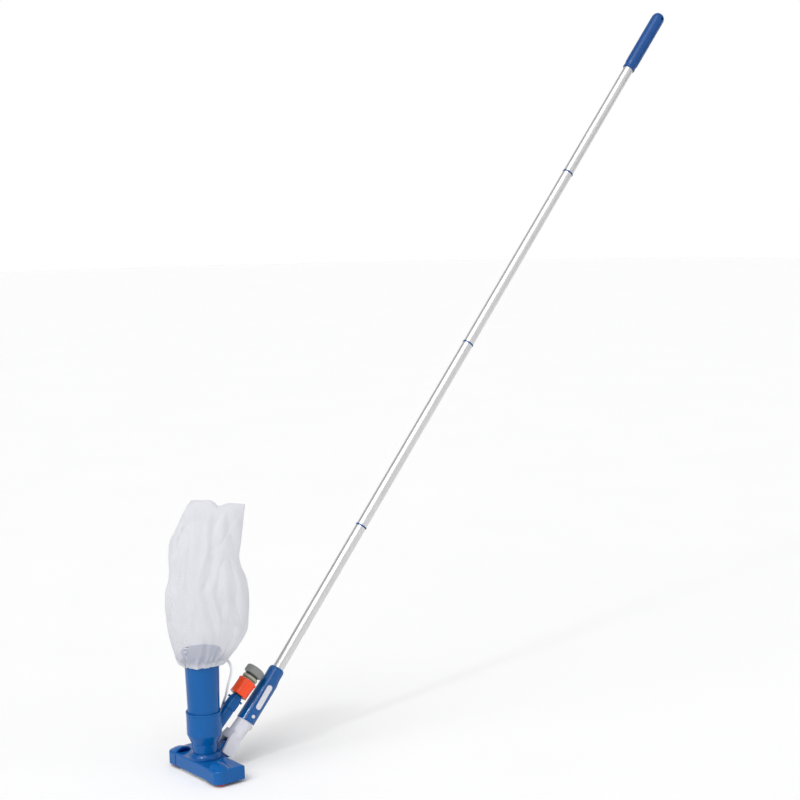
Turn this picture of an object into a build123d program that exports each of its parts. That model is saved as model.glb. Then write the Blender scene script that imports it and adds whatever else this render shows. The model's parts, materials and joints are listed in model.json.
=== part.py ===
from build123d import *
import math
import os

# Manual vacuum head for a pool or spa: a small brush-and-wheel suction head, a
# venturi body driven by a garden hose, a mesh debris bag on top, and a sectional
# hand pole on a pivoting yoke.
# Frame: +X along the head's long side, -Y its front, +Z up. The origin is on the
# floor plane under the middle of the head.

os.makedirs("parts", exist_ok=True)

# ---------------------------------------------------------------- dimensions
# suction head
HEAD_L = 180.0          # along X
HEAD_W = 64.5           # along Y
SKIRT_Z = 6.0           # lower edge of the end caps
TOP_Z = 32.0            # top plate
WALL = 2.2
CAP_X = 58.0            # inner edge of each raised end cap
FRONT_R, REAR_R = 14.0, 5.0
THROAT_R = 18.8
# wheels
WHEEL_R, WHEEL_W, WHEEL_XF, WHEEL_XR = 12.5, 7.0, 77.0, 60.0
WHEEL_YF, WHEEL_YR = -15.0, 16.5
AXLE_R = 1.5
# venturi body and riser
NECK_R0, NECK_R1 = 22.6, 25.6
CUP_R = 33.8
CUP_TOP = 124.0
RISER_R0, RISER_R1 = 30.8, 33.2
FLANGE_R, FLANGE_Z = 38.4, 243.0
# hose arm
ARM_Z0, ARM_DEG = 61.6, 46.0
# yoke and pole
PIV_Y, PIV_Z = 47.0, 38.8
LUG_R, LUG_HALF = 16.2, 9.8
PIN_R = 3.05
POLE_Y, POLE_Z, POLE_DEG = 54.85, 30.22, 40.1
YOKE_DEG = 46.2
POLE_R, TUBE_T = 11.0, 1.0
SECTION = 450.0
SLEEVE_BOT, SLEEVE_TOP = 65.0, 184.6
# sleeve outline: distance along the pole, offset from its axis, radius
SLEEVE = [(65.0, -4.3, 18.7), (150.0, -1.0, 17.7), (163.5, -1.0, 15.9)]
SPIGOT_OFF, SPIGOT_R = -2.6, 14.4
CLIP_AZ = -11.0
RING_S = [514.0, 964.0, 1414.0]
GRIP_S0, GRIP_S1, GRIP_R = 1703.0, 1859.0, 14.3
HANG_S, HANG_R = 1847.0, 3.5
# bag and drawstring
HEM_Z0, HEM_Z1 = 213.0, 221.0
CORD_D = 4.6

parts = {}


def add(name, shape):
    parts[name] = shape


def plane_at(y, z, deg):
    t = math.radians(deg)
    return Plane(origin=(0, y, z), x_dir=(1, 0, 0), z_dir=(0, math.sin(t), math.cos(t)))


POLE = plane_at(POLE_Y, POLE_Z, POLE_DEG)
ARM = plane_at(0.0, ARM_Z0, ARM_DEG)
YOKE = plane_at(PIV_Y, PIV_Z, YOKE_DEG)
FORK = plane_at(PIV_Y, PIV_Z, POLE_DEG)


def put(plane, shape):
    return plane.location * shape


def rev(points):
    """Solid of revolution about Z from (radius, z) points."""
    return revolve(make_face(Polyline([(r, 0, z) for r, z in points], close=True)), Axis.Z)


def cyl(r, z0, z1, x=0.0, y=0.0):
    return Pos(x, y, (z0 + z1) / 2) * Cylinder(r, z1 - z0)


def ring(r1, r0, z0, z1, x=0.0, y=0.0):
    return cyl(r1, z0, z1, x, y) - cyl(r0, z0 - 1, z1 + 1, x, y)


def box(x0, x1, y0, y1, z0, z1):
    return Pos((x0 + x1) / 2, (y0 + y1) / 2, (z0 + z1) / 2) * Box(x1 - x0, y1 - y0, z1 - z0)


def xcyl(r, x0, x1, y, z):
    return Pos((x0 + x1) / 2, y, z) * Rot(0, 90, 0) * Cylinder(r, x1 - x0)


def slab(pts, x0, x1):
    """Polygon in the YZ plane, from x0 to x1."""
    f = make_face(Polyline([(0, y, z) for y, z in pts], close=True))
    return Pos(x0, 0, 0) * extrude(f, amount=x1 - x0, dir=(1, 0, 0))


def plan(inset, ztop, z0, x_in=None):
    """Head footprint, inset by a wall, from z0 to ztop."""
    hx, hy = HEAD_L / 2 - inset, HEAD_W / 2 - inset
    b = box(-hx, hx, -hy, hy, z0, ztop)
    ve = b.edges().filter_by(Axis.Z)
    front = [e for e in ve if e.center().Y < 0]
    b = fillet(front, FRONT_R - inset)
    rear = [e for e in b.edges().filter_by(Axis.Z) if e.center().Y > 0 and abs(abs(e.center().X) - hx) < 0.01 and abs(e.center().Y - hy) < 0.01]
    return fillet(rear, max(REAR_R - inset, 1.5))


# ---------------------------------------------------------------- head shell
HOOD_Y, HOOD_TOP, HOOD_R, BOW = -12.5, 40.8, 21.4, 60.0
EYE_R = 19.6


def hood(side, r, top, bow):
    """Arched hood over an end cap: an arch swept down along a circle towards the end."""
    zc = top - r
    with BuildSketch(Plane(origin=(CAP_X * side, HOOD_Y, zc), x_dir=(0, 1, 0), z_dir=(1, 0, 0))) as s:
        Circle(r)
        Rectangle(2 * r + 2, 2 * r, align=(Align.CENTER, Align.MAX), mode=Mode.SUBTRACT)
    ax = Axis((CAP_X * side, 0, top - bow), (0, side, 0))
    return revolve(s.sketch, ax, 46)


caps = plan(0, TOP_Z, SKIRT_Z)
caps = fillet([e for e in caps.edges() if abs(e.center().Z - TOP_Z) < 0.01], 4.6)
caps -= box(-CAP_X, CAP_X, -50, 50, 0, 60)
mid = box(-CAP_X, CAP_X, -HEAD_W / 2 + 0.8, HEAD_W / 2, SKIRT_Z + 0.9, TOP_Z)
mid_top = mid.edges().filter_by(Axis.X).group_by(Axis.Z)[-1].sort_by(Axis.Y)
mid = fillet(mid_top[:1], 2.2)
mid_top = [e for e in mid.edges().filter_by(Axis.X) if e.center().Z > TOP_Z - 0.01 and e.center().Y > 30]
mid = fillet(mid_top, 4.6)
outer = caps + mid
foot = plan(0.0, 60, 0)
for side in (-1, 1):
    h = hood(side, HOOD_R, HOOD_TOP, BOW) & foot
    h = h - box(-120, 120, -80, 80, -50, TOP_Z - 4)
    outer = outer + h

inner = plan(WALL, TOP_Z - WALL, -1)
for side in (-1, 1):
    h = hood(side, HOOD_R - WALL, HOOD_TOP - WALL, BOW - WALL) & plan(WALL, 60, 0)
    h = h - box(-120, 120, -80, 80, -50, TOP_Z - 5)
    inner = inner + h
shell = outer - inner


def eye(side, grow, zlow):
    """Eye-shaped pocket in the top plate, running in under the hood."""
    x0, x1 = (34, 74 + grow) if side > 0 else (-84, -44 + grow)
    a = xcyl(EYE_R + grow, x0, x1, HOOD_Y, HOOD_TOP - 2.8 - EYE_R)
    b = cyl(17.8 + grow, zlow, 60, 67.8 * side, HOOD_Y)
    c = box(min(side * 40, side * (70 + grow)), max(side * 40, side * (70 + grow)), -60, 60, 0, 60)
    return a & b & c


liners = []
for side in (-1, 1):
    shell = (shell + (eye(side, 1.8, 25.4) & outer)) - eye(side, 0, 27.2)
    cup = eye(side, -0.04, 27.24) - eye(side, -0.9, 28.1)
    cup -= box(-CAP_X + 0.1, CAP_X - 0.1, -60, 60, TOP_Z - 0.4, 60)
    liners.append(cup)
# throat duct down to the base plate, and bosses for the base screws
shell += ring(THROAT_R + 2.2, THROAT_R, 11.2, TOP_Z - 0.5)
SCREWS = [(-45, -18), (45, -18), (-45, 18), (45, 18)]
for x, y in SCREWS:
    shell += cyl(4.0, 11.2, TOP_Z - 1, x, y)
for x, y in SCREWS:
    shell -= cyl(1.5, 5, 24, x, y)
shell -= cyl(THROAT_R, 5, 60)
shell -= [cyl(1.5, TOP_Z - 8, TOP_Z + 1, x, y) for x, y in ((-25.5, 0), (25.5, 0))]
# three stiffening ribs each side under the top plate
for x in (-34.0, 34.0):
    shell += box(x - 0.9, x + 0.9, -HEAD_W / 2 + WALL, HEAD_W / 2 - WALL, 22, TOP_Z - 1)
add("head_shell", shell)
add("pocket_liners", Compound(children=liners))

# ---------------------------------------------------------------- base plate
plate = plan(WALL + 0.3, 11.0, 9.0)
plate -= box(-CAP_X - 2, CAP_X + 2, -40, -HEAD_W / 2 + WALL + 1.1, 0, 40)
plate -= cyl(THROAT_R, 0, 40)
for x in (-31.0, 31.0):
    plate -= box(x - 9, x + 9, -5, 5, 0, 40)
for x, y in SCREWS:
    plate -= cyl(1.75, 0, 40, x, y)
WHEELS = {
    "wheel_front_left": (-WHEEL_XF, WHEEL_YF),
    "wheel_front_right": (WHEEL_XF, WHEEL_YF),
    "wheel_rear_left": (-WHEEL_XR, WHEEL_YR),
    "wheel_rear_right": (WHEEL_XR, WHEEL_YR),
}
for x, y in WHEELS.values():
    plate -= box(x - WHEEL_W / 2 - 0.7, x + WHEEL_W / 2 + 0.7, max(y - 13.2, -29.2), min(y + 13.2, 29.2), 0, 40)
    for sx in (-1, 1):
        xe = x + sx * (WHEEL_W / 2 + 1.7)
        ear = box(xe - 0.95, xe + 0.95, y - 3.5, y + 3.5, 10.5, 16.0)
        plate += ear
for x, y in WHEELS.values():
    plate -= xcyl(AXLE_R + 0.01, x - 8, x + 8, y, WHEEL_R)
# rails that hold the two brush strips
for y in (-26.0, 26.0):
    plate -= box(-51, 51, y - 2.0, y + 2.0, 0, 40)
add("base_plate", plate)
add("base_screws", Compound(children=[
    (cyl(1.48, 9.0, 21.0, x, y) + cyl(3.0, 7.4, 9.0, x, y) - box(x - 2, x + 2, y - 0.4, y + 0.4, 7, 8.2))
    for x, y in SCREWS
]))

for name, y in (("front", -26.0), ("rear", 26.0)):
    strip = box(-50.8, 50.8, y - 1.9, y + 1.9, 8.0, 12.2) + box(-50.8, 50.8, y - 2.8, y + 2.8, 11.2, 13.2)
    strip -= box(-49, 49, y - 1.1, y + 1.1, 7.0, 11.5)
    add(name + "_brush_strip", strip)
    add(name + "_bristles", box(-48.8, 48.8, y - 1.0, y + 1.0, 0.0, 11.4))

for name, (x, y) in WHEELS.items():
    w = xcyl(WHEEL_R, x - WHEEL_W / 2, x + WHEEL_W / 2, y, WHEEL_R)
    w = chamfer([e for e in w.edges() if e.geom_type == GeomType.CIRCLE], 0.8)
    for sx in (-1, 1):
        xs = x + sx * (WHEEL_W / 2)
        w -= xcyl(9.6, min(xs, xs - sx * 1.6), max(xs, xs - sx * 1.6), y, WHEEL_R) - xcyl(3.4, x - 5, x + 5, y, WHEEL_R)
    w -= xcyl(AXLE_R + 0.05, x - 8, x + 8, y, WHEEL_R)
    add(name, w)
add("wheel_axles", Compound(children=[xcyl(AXLE_R, x - 6.1, x + 6.1, y, WHEEL_R) for x, y in WHEELS.values()]))

# ---------------------------------------------------------------- jet base (saddle and pivot lug)
dome = rev([(0, TOP_Z + 0.02), (30.3, TOP_Z + 0.02), (30.3, 34.8), (30.0, 36.8), (29.2, 39.0), (28.0, 40.7), (26.7, 42.0), (25.6, 43.0), (24.6, 43.5), (0, 43.5)])
arm_lug = slab([(12, 33), (12, 44), (22, 49.5), (33, 53.5), (PIV_Y + 2, PIV_Z + 14), (PIV_Y, PIV_Z), (PIV_Y - 4, PIV_Z - 14), (30, TOP_Z + 0.02)], -LUG_HALF, LUG_HALF)
lug = arm_lug + xcyl(LUG_R, -LUG_HALF, LUG_HALF, PIV_Y, PIV_Z)
web = slab([(10, 33), (10, 43), (26, 43), (30, 36), (30.5, TOP_Z + 0.02), (12, TOP_Z + 0.02)], -15, 15)
base = dome + lug + web
base -= box(-100, 100, -40, HEAD_W / 2 + 0.05, 0, TOP_Z + 0.02)
base -= box(-100, 100, HEAD_W / 2 - 0.1, HEAD_W / 2 + 0.25, 0, TOP_Z + 0.3)
base -= rev([(0, 37.0), (22.9, 37.0), (22.9, 44.0), (NECK_R1 + 0.4, 63.0), (35, 78), (35, 90), (0, 90)])
base -= cyl(18.0, 20, 60)
base -= xcyl(PIN_R + 0.06, -20, 20, PIV_Y, PIV_Z)
# shallow round recess on each cheek of the lug
for sx in (-1, 1):
    base -= xcyl(12.4, min(sx * LUG_HALF, sx * (LUG_HALF - 0.6)), max(sx * LUG_HALF, sx * (LUG_HALF - 0.6)), PIV_Y, PIV_Z) - xcyl(6.5, -11, 11, PIV_Y, PIV_Z)
base -= [cyl(1.5, TOP_Z - 8, TOP_Z + 5, x, y) for x, y in ((-25.5, 0), (25.5, 0))]
add("jet_base", base)
add("base_fixing_screws", Compound(children=[
    (cyl(1.48, TOP_Z - 7.0, TOP_Z + 4.0, x, y) + cyl(2.9, TOP_Z - 4.2, TOP_Z - WALL - 0.02, x, y)) for x, y in ((-25.5, 0), (25.5, 0))
]))

# ---------------------------------------------------------------- venturi body
body = rev([
    (18.0, 37.1), (NECK_R0 - 0.9, 37.1), (NECK_R0 - 0.9, 42.9), (NECK_R0, 43.7), (NECK_R1 - 0.2, 62.8), (25.9, 63.4), (26.5, 64.8),
    (32.9, 78.4), (33.5, 80.6), (CUP_R, 120.6), (CUP_R + 0.6, 121.2), (CUP_R + 0.6, 123.4), (CUP_R + 0.1, CUP_TOP),
    (31.9, CUP_TOP), (31.3, 122.6), (31.3, 107.0), (28.6, 107.0), (28.6, 84.0), (22.4, 66.0), (18.0, 58.0),
])
pipe = put(ARM, rev([(0, 16), (12.5, 16), (12.3, 74.8), (11.7, 75.6), (9.9, 75.6), (9.9, 88.0), (0, 88.0)]))
pipe -= rev([(0, 30), (23.5, 30), (23.5, 64), (32.2, 81), (32.2, 130), (0, 130)])
body = body + pipe
body -= put(ARM, cyl(6.6, 20, 94))
body = body - [put(ARM, ring(12, 9.2, z, z + 0.9)) for z in (78.5, 80.9, 83.3, 85.7)]
add("venturi_body", body)

# inner jet: feed tube from the hose arm and a nozzle that points up the bore
jet = put(ARM, cyl(6.5, 0.0, 50.0)) + rev([(0, 54), (6.0, 54), (7.4, 56), (7.4, 78), (4.0, 90), (0, 90)])
jet -= put(ARM, cyl(4.9, 0.0, 60.0))
jet -= rev([(0, 57.5), (5.0, 57.5), (5.0, 78), (2.0, 89), (2.0, 95), (0, 95)])
add("jet_nozzle", jet)

# ---------------------------------------------------------------- riser tube
riser = rev([
    (28.7, 107.3), (RISER_R0, 107.3), (RISER_R0, 134), (RISER_R1 - 0.5, 206), (RISER_R1, 226), (34.6, 233), (FLANGE_R, 239.6), (FLANGE_R, FLANGE_Z - 0.5),
    (FLANGE_R - 0.6, FLANGE_Z), (36.2, FLANGE_Z), (32.6, 233), (31.2, 226), (30.6, 206), (28.7, 134),
])
add("riser_tube", riser)
add("riser_seal", ring(31.25, RISER_R0 + 0.02, 112.0, 114.0))

# ---------------------------------------------------------------- hose arm parts
# washer, nipple with a finely ribbed neck, union nut with two lugs
add("inlet_washer", put(ARM, ring(9.4, 6.6, 88.05, 89.95)))
nip = put(ARM, rev([
    (5.0, 90.0), (10.4, 90.0), (10.4, 92.4), (9.4, 92.6), (9.4, 101.3), (11.0, 101.6), (11.3, 102.2), (11.3, 103.8), (10.9, 104.4), (9.6, 104.8),
    (9.6, 105.7), (10.4, 106.1), (10.4, 107.0), (9.6, 107.5), (8.0, 108.2), (8.0, 112.3), (6.9, 113.1), (6.9, 115.7), (8.0, 116.3),
    (8.0, 121.3), (6.7, 121.3), (6.7, 123.7), (8.0, 123.7), (8.0, 128.1), (7.2, 129.3), (5.0, 129.3),
]))
add("hose_nipple", nip)
add("nipple_o_ring", put(ARM, ring(8.0, 6.72, 121.35, 123.65)))
nut = put(ARM, rev([
    (9.98, 76.6), (12.0, 76.6), (12.6, 77.4), (12.6, 96.4), (11.9, 97.2), (11.9, 100.4), (11.6, 101.0), (9.7, 101.0), (9.7, 92.8), (10.7, 92.8), (10.7, 89.9), (9.98, 89.9),
]))
LUG_AZ = 53.0
for k in range(2):
    bar = Rot(0, 0, LUG_AZ + 180 * k) * (box(11.0, 15.6, -3.4, 3.4, 97.4, 101.0))
    nut += put(ARM, bar)
for k in range(18):
    nut += put(ARM, Rot(0, 0, 20 * k) * box(12.2, 12.95, -0.6, 0.6, 79.6, 95.4))
add("union_nut", nut)

# quick connector: body, two bands, orange release collar, claw ring, wave springs
conn = put(ARM, rev([
    (8.06, 108.9), (12.4, 108.9), (12.4, 111.1), (13.5, 111.9), (13.5, 134.3), (15.4, 134.3), (15.4, 138.7), (13.5, 139.1), (13.5, 142.6),
    (12.6, 142.8), (12.6, 153.4), (13.5, 153.8), (13.5, 165.0), (12.3, 165.4), (12.3, 160.0), (7.6, 160.0), (6.5, 162.0), (6.5, 168.5), (6.0, 169.1),
    (4.9, 169.1), (4.9, 131.1), (8.06, 131.1),
]))
conn -= put(ARM, ring(9.6, 8.0, 113.7, 115.5))
add("connector_body", conn)
add("connector_band_1", put(ARM, rev([(12.65, 142.95), (15.0, 142.95), (15.3, 143.3), (15.3, 144.2), (15.0, 144.6), (12.65, 144.6)])))
add("connector_band_2", put(ARM, rev([(12.65, 146.4), (15.2, 146.4), (15.8, 147.0), (15.9, 149.2), (15.8, 151.4), (15.2, 152.0), (12.65, 152.0)])))
add("claw_ring", put(ARM, ring(9.5, 7.3, 113.8, 115.4)) - put(ARM, box(4, 12, -1.6, 1.6, 113, 117)))
col = put(ARM, rev([
    (13.58, 109.2), (17.3, 109.2), (18.2, 110.2), (18.2, 111.3), (17.8, 112.1), (17.6, 116.7), (17.6, 123.7), (17.8, 130.7), (18.2, 137.9), (18.8, 138.9), (18.9, 141.1), (18.1, 142.3),
    (15.55, 142.3), (15.55, 128.7), (13.58, 128.7),
]))
for k in range(12):
    col -= put(ARM, Rot(0, 0, 30 * k + 15) * (Pos(18.3, 0, 124.7) * Box(2.0, 1.6, 22.0)))
add("release_collar", col)
add("collar_springs", put(ARM, Compound(children=[ring(15.3, 13.7, z, z + 0.4) for z in (132.8, 133.32, 133.84)])))
cnut = rev([
    (13.8, 156.6), (17.2, 156.6), (18.1, 157.6), (18.1, 169.6), (17.5, 171.2), (16.0, 172.2), (12.4, 172.8), (9.9, 172.8), (9.6, 172.4), (9.6, 171.8), (12.3, 168.6), (13.8, 168.6),
])
for k in range(22):
    cnut += Rot(0, 0, 360 / 22 * k) * (Pos(18.1, 0, 163.9) * Box(1.8, 2.7, 11.8))
add("hose_clamp_nut", put(ARM, cnut))
add("hose_collet", put(ARM, rev([(9.7, 162.2), (12.0, 162.2), (12.0, 167.8), (9.5, 171.0), (9.3, 171.0)]) - box(0, 14, -1.0, 1.0, 159, 174)))

# ---------------------------------------------------------------- yoke
def prong(x0, x1):
    f = make_face(Polyline([(0, -12.7, -11.3), (0, 13.8, -11.3), (0, 15.2, 4.0), (0, 14.8, 15.0), (0, 11.0, 24.0), (0, 9.0, 34.0), (0, -12.0, 36.0), (0, -15.8, 22.5)], close=True))
    p = Pos(x0, 0, 0) * extrude(f, amount=x1 - x0, dir=(1, 0, 0))
    low = [e for e in p.edges().filter_by(Axis.X) if e.center().Z < -11]
    return fillet(low, 2.4)


yk = put(YOKE, cyl(16.8, 27.0, 80.0))
bridge = prong(-15.4, 15.4) - box(-30, 30, -40, 40, -20, 17.0)
fork = prong(10.2, 15.4) + prong(-15.4, -10.2) + bridge
fork -= box(-10.2, 10.2, -30, 30, -20, 17.6)
yk += put(FORK, fork)
yk = yk - put(FORK, box(-10.2, 10.2, -30, 30, -20, 17.6))
yk = put(YOKE, Pos(0, 0, 0) * box(-60, 60, -60, 60, -40, 90)) & yk
yk -= put(YOKE, xcyl(PIN_R + 0.01, -20, 20, 0, 0))
cutter = put(POLE, box(-60, 60, -60, 60, SLEEVE_BOT - 0.15, 200))
yk -= cutter
TURN = Pos(0, SPIGOT_OFF, 0) * Rot(0, 0, CLIP_AZ) * Pos(0, -SPIGOT_OFF, 0)
spig = cyl(SPIGOT_R, SLEEVE_BOT - 8, 121.0, 0, SPIGOT_OFF) - TURN * box(11.8, 20, -13, 9, SLEEVE_BOT + 2, 130)
spig = chamfer([e for e in spig.edges() if e.center().Z > 120.9], 0.8)
yk += put(POLE, spig)
yk -= put(POLE, cyl(9.5, SLEEVE_BOT + 6, 130, 0, SPIGOT_OFF))
# counterbores that take the pin's head and its retainer
yk -= put(YOKE, xcyl(5.7, 14.0, 20, 0, 0) + xcyl(5.7, -20, -14.0, 0, 0))
# pocket for the release tab, on the underside
yk -= put(POLE, box(-2.95, 2.95, 3.0, 30, 53.3, 63.7))
add("yoke", yk)
add("release_tab", put(POLE, chamfer((box(-2.7, 2.7, 6.4, 17.6, 53.6, 63.4)).edges().filter_by(Axis.X).sort_by(Axis.Y)[-2:], 2.2)))
add("pivot_pin", put(YOKE, xcyl(PIN_R, -15.2, 15.2, 0, 0) + xcyl(5.5, 14.02, 15.55, 0, 0)))
add("pin_retainer", put(YOKE, xcyl(5.5, -15.2, -14.02, 0, 0) - xcyl(PIN_R, -16, -13, 0, 0)))

# ---------------------------------------------------------------- pole sleeve and its lock clip
def sleeve_outer(g):
    """Outer form of the sleeve, grown by g: slightly conical, then a shoulder and a rounded collar."""
    rings = [Plane(origin=(0, y, z), z_dir=(0, 0, 1)) * Circle(r + g) for z, y, r in SLEEVE]
    f = loft(rings[:2], ruled=True) + loft(rings[1:], ruled=True)
    z0, y0, r0 = SLEEVE[-1]
    top = rev([(0, z0), (r0 + g, z0), (r0 + g, 177.0), (r0 - 0.3 + g, 179.6), (r0 - 1.1 + g, 182.0), (r0 - 2.3 + g, 183.7), (r0 - 3.4 + g, SLEEVE_TOP), (0, SLEEVE_TOP)])
    return f + Pos(0, y0, 0) * top


slv = sleeve_outer(0)
slv -= cyl(SPIGOT_R + 0.05, SLEEVE_BOT - 1, 121.5, 0, SPIGOT_OFF)
slv -= cyl(POLE_R + 0.02, 121, SLEEVE_TOP + 1)
CY, PAD_W, PAD_A, PAD_B, BUTTON = SPIGOT_OFF, 5.6, 99.2, 140.9, 77.9
slv -= (TURN * box(12.2, 16.8, CY - PAD_W - 0.6, CY + PAD_W + 0.6, 70.0, 149.4)) & sleeve_outer(-0.9)
slot = box(14, 30, CY - PAD_W - 0.25, CY + PAD_W + 0.25, PAD_A, PAD_B) + xcyl(PAD_W + 0.25, 14, 30, CY, PAD_A) + xcyl(PAD_W + 0.25, 14, 30, CY, PAD_B)
slv -= TURN * slot
slv -= TURN * xcyl(3.9, 14, 30, CY, BUTTON)
# grip ridges on the side next to the slot
for k in range(9):
    z = 100 + 3.4 * k
    slv += Rot(0, 0, 42) * (Pos(18.0, 0, z) * Box(1.3, 7.0, 1.3)) & sleeve_outer(0.5)
add("pole_sleeve", put(POLE, slv))
clip = (TURN * box(15.2, 16.5, CY - PAD_W - 0.3, CY + PAD_W + 0.3, 72.8, 149.0)) & sleeve_outer(-1.05)
padw = box(16.0, 22, CY - PAD_W, CY + PAD_W, PAD_A, PAD_B) + xcyl(PAD_W, 16.0, 22, CY, PAD_A) + xcyl(PAD_W, 16.0, 22, CY, PAD_B)
padw = (TURN * padw) & sleeve_outer(0.25)
btn = xcyl(3.6, 16.0, 20.1, CY, BUTTON)
btn = TURN * fillet([e for e in btn.edges() if e.center().X > 20.0], 1.2)
add("lock_clip", put(POLE, clip + padw + btn))

# ---------------------------------------------------------------- pole tubes, rings, inserts
starts = [121.6] + [s + 1.6 for s in RING_S]
ends = [s - 1.6 for s in RING_S] + [1837.0]
for i, (a, b) in enumerate(zip(starts, ends)):
    t = ring(POLE_R, POLE_R - TUBE_T, a, b)
    if i < 3:
        # crimp dimples that hold the insert
        t -= [Rot(0, 0, az) * Pos(POLE_R + 1.45, 0, b - 16.0) * Sphere(2.1) for az in (-20.0, 160.0)]
    add(f"pole_tube_{i + 1}", put(POLE, t))
for i, s in enumerate(RING_S):
    r = ring(POLE_R + 0.9, POLE_R - TUBE_T, s - 1.58, s + 1.58)
    r = fillet([e for e in r.edges() if e.geom_type == GeomType.CIRCLE and abs(e.radius - POLE_R - 0.9) < 0.01], 0.5)
    add(f"joint_ring_{i + 1}", put(POLE, r))
    add(f"joint_insert_{i + 1}", put(POLE, ring(POLE_R - TUBE_T - 0.06, 7.6, s - 60, s + 60)))

# ---------------------------------------------------------------- grip
g = rev([
    (POLE_R + 0.02, GRIP_S0), (12.9, GRIP_S0), (13.6, GRIP_S0 + 1.2), (13.6, GRIP_S0 + 5), (13.0, GRIP_S0 + 6.5), (13.2, GRIP_S0 + 9), (GRIP_R, GRIP_S0 + 16), (GRIP_R, 1842),
    (14.0, 1848), (12.6, 1853), (9.6, 1857), (5.0, 1858.8), (0, GRIP_S1), (0, 1838), (POLE_R + 0.02, 1838),
])
g -= xcyl(HANG_R, -30, 30, 0, HANG_S)
for k in range(16):
    az = 22.5 * k
    for z0 in (1722, 1752, 1782):
        g -= Rot(0, 0, az) * (Pos(GRIP_R + 0.35, 0, z0 + 12) * Box(1.4, 1.1, 22))
add("grip", put(POLE, g))

# ---------------------------------------------------------------- mesh bag
# sections across the bag: height, centre along the bag's width, half width, half depth
WDIR = Vector(0.6203, 0.7844, 0)
DDIR = Vector(0.7844, -0.6203, 0)
SECT = [
    (221.2, 1.0, 43.0, 41.5), (236.0, 5.0, 56.0, 49.0), (262.0, 10.5, 69.5, 54.0), (300.0, 14.0, 77.0, 54.0), (345.0, 15.0, 79.0, 50.0),
    (385.0, 15.0, 71.0, 44.0), (425.0, 12.5, 65.0, 37.0), (465.0, 19.0, 63.0, 29.0), (500.0, 29.5, 59.0, 19.0), (530.0, 39.5, 52.0, 6.0),
]


def section(z, c, a, b):
    o = WDIR * c
    return Plane(origin=(o.X, o.Y, z), x_dir=(WDIR.X, WDIR.Y, 0), z_dir=(0, 0, 1)) * Ellipse(a, b)


bag = loft([section(*s) for s in SECT])
T = 0.8
hollow = loft([section(z, c, a - T, b - T) for z, c, a, b in SECT]) - box(-200, 200, -200, 200, 526, 600)
bag -= hollow
add("mesh_bag", bag)
hem = rev([(33.9, HEM_Z0), (36.2, HEM_Z0), (37.4, HEM_Z0 + 2), (38.2, HEM_Z1 - 1), (42.8, HEM_Z1 + 0.15), (42.0, HEM_Z1 + 0.15), (34.4, HEM_Z1), (33.9, HEM_Z1 - 3)])
add("bag_hem", hem)

# ---------------------------------------------------------------- drawstring, cord lock, knot
# route of the loose drawstring end: out of the hem, over, and down behind the hose arm
# (across the bag, towards the front, height)
ROUTE_W = [
    (37.4, -20.1, 216.4), (42.5, -15.3, 219.0), (48.0, -10.3, 218.0), (52.5, -6.1, 213.7), (55.0, -3.8, 207.0), (55.2, -4.6, 197.8), (52.6, -6.6, 187.4), (49.0, -9.0, 176.4), (45.8, -13.0, 165.4),
    (43.4, -19.2, 154.6), (40.7, -27.4, 144.6), (36.9, -37.2, 134.6), (32.4, -46.4, 122.6), (28.4, -51.8, 110.6), (25.2, -55.2, 99.2),
]
ROUTE = [(round(WDIR.X * w + DDIR.X * q, 2), round(WDIR.Y * w + DDIR.Y * q, 2), z) for w, q, z in ROUTE_W]


def cord_tube(route, d):
    v = [Vector(*p) for p in route]
    radii, total = [], 0.0
    for i in range(1, len(v) - 1):
        a, b = v[i] - v[i - 1], v[i + 1] - v[i]
        turn = a.get_angle(b)
        short = min(a.length, b.length)
        radii.append(0.45 * short / math.tan(math.radians(turn / 2)))
    path = FilletPolyline(*[tuple(p) for p in route], radius=radii)
    first = (v[1] - v[0]).normalized()
    prof = Plane(origin=v[0], z_dir=first) * Circle(d / 2)
    tube = sweep(prof, path=path)
    runs = [(v[i + 1] - v[i]).length for i in range(len(v) - 1)]
    print("drawstring route", ROUTE)
    print("drawstring runs", [round(r, 1) for r in runs], "radii", [round(r, 1) for r in radii])
    print("drawstring length", round(path.length, 2), "volume ratio", round(tube.volume / (math.pi * d * d / 4 * path.length), 5))
    return tube


add("drawstring", cord_tube(ROUTE, CORD_D))
end_dir = (Vector(*ROUTE[-1]) - Vector(*ROUTE[-2])).normalized()
kc = Vector(*ROUTE[-1]) + end_dir * 4.2
knot = Plane(origin=kc, z_dir=end_dir) * Pos(0, 0, 0) * Cylinder(3.9, 8.4)
knot = fillet(knot.edges().filter_by(GeomType.CIRCLE), 2.2)
add("drawstring_knot", knot)

# cord lock at the back of the hem, its button pressed along the hem
LA = math.radians(-33.2)
LOCK_SIDE = 1
RAD = WDIR * math.cos(LA) + DDIR * math.sin(LA)
LK = RAD * 42.3
lk = Plane(origin=(LK.X, LK.Y, 214.9), x_dir=(RAD.X, RAD.Y, 0), z_dir=(0, 0, 1))
lock = put(lk, fillet(Box(7.0, 7.2, 8.2).edges().filter_by(Axis.Z), 1.6))
lock -= put(lk, Pos(0, LOCK_SIDE * 3.9, 0) * Rot(90, 0, 0) * Cylinder(2.5, 9.0))
add("cord_lock", lock)
add("cord_lock_button", put(lk, Pos(0, LOCK_SIDE * 4.45, 0) * Rot(90, 0, 0) * Cylinder(2.44, 3.6)))

for name, shape in parts.items():
    export_step(shape, f"parts/{name}.step")
print(len(parts), "nodes")
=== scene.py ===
import json
import math
import random

import bpy
import bmesh
import numpy as np
from mathutils import Matrix, Vector, noise


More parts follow.
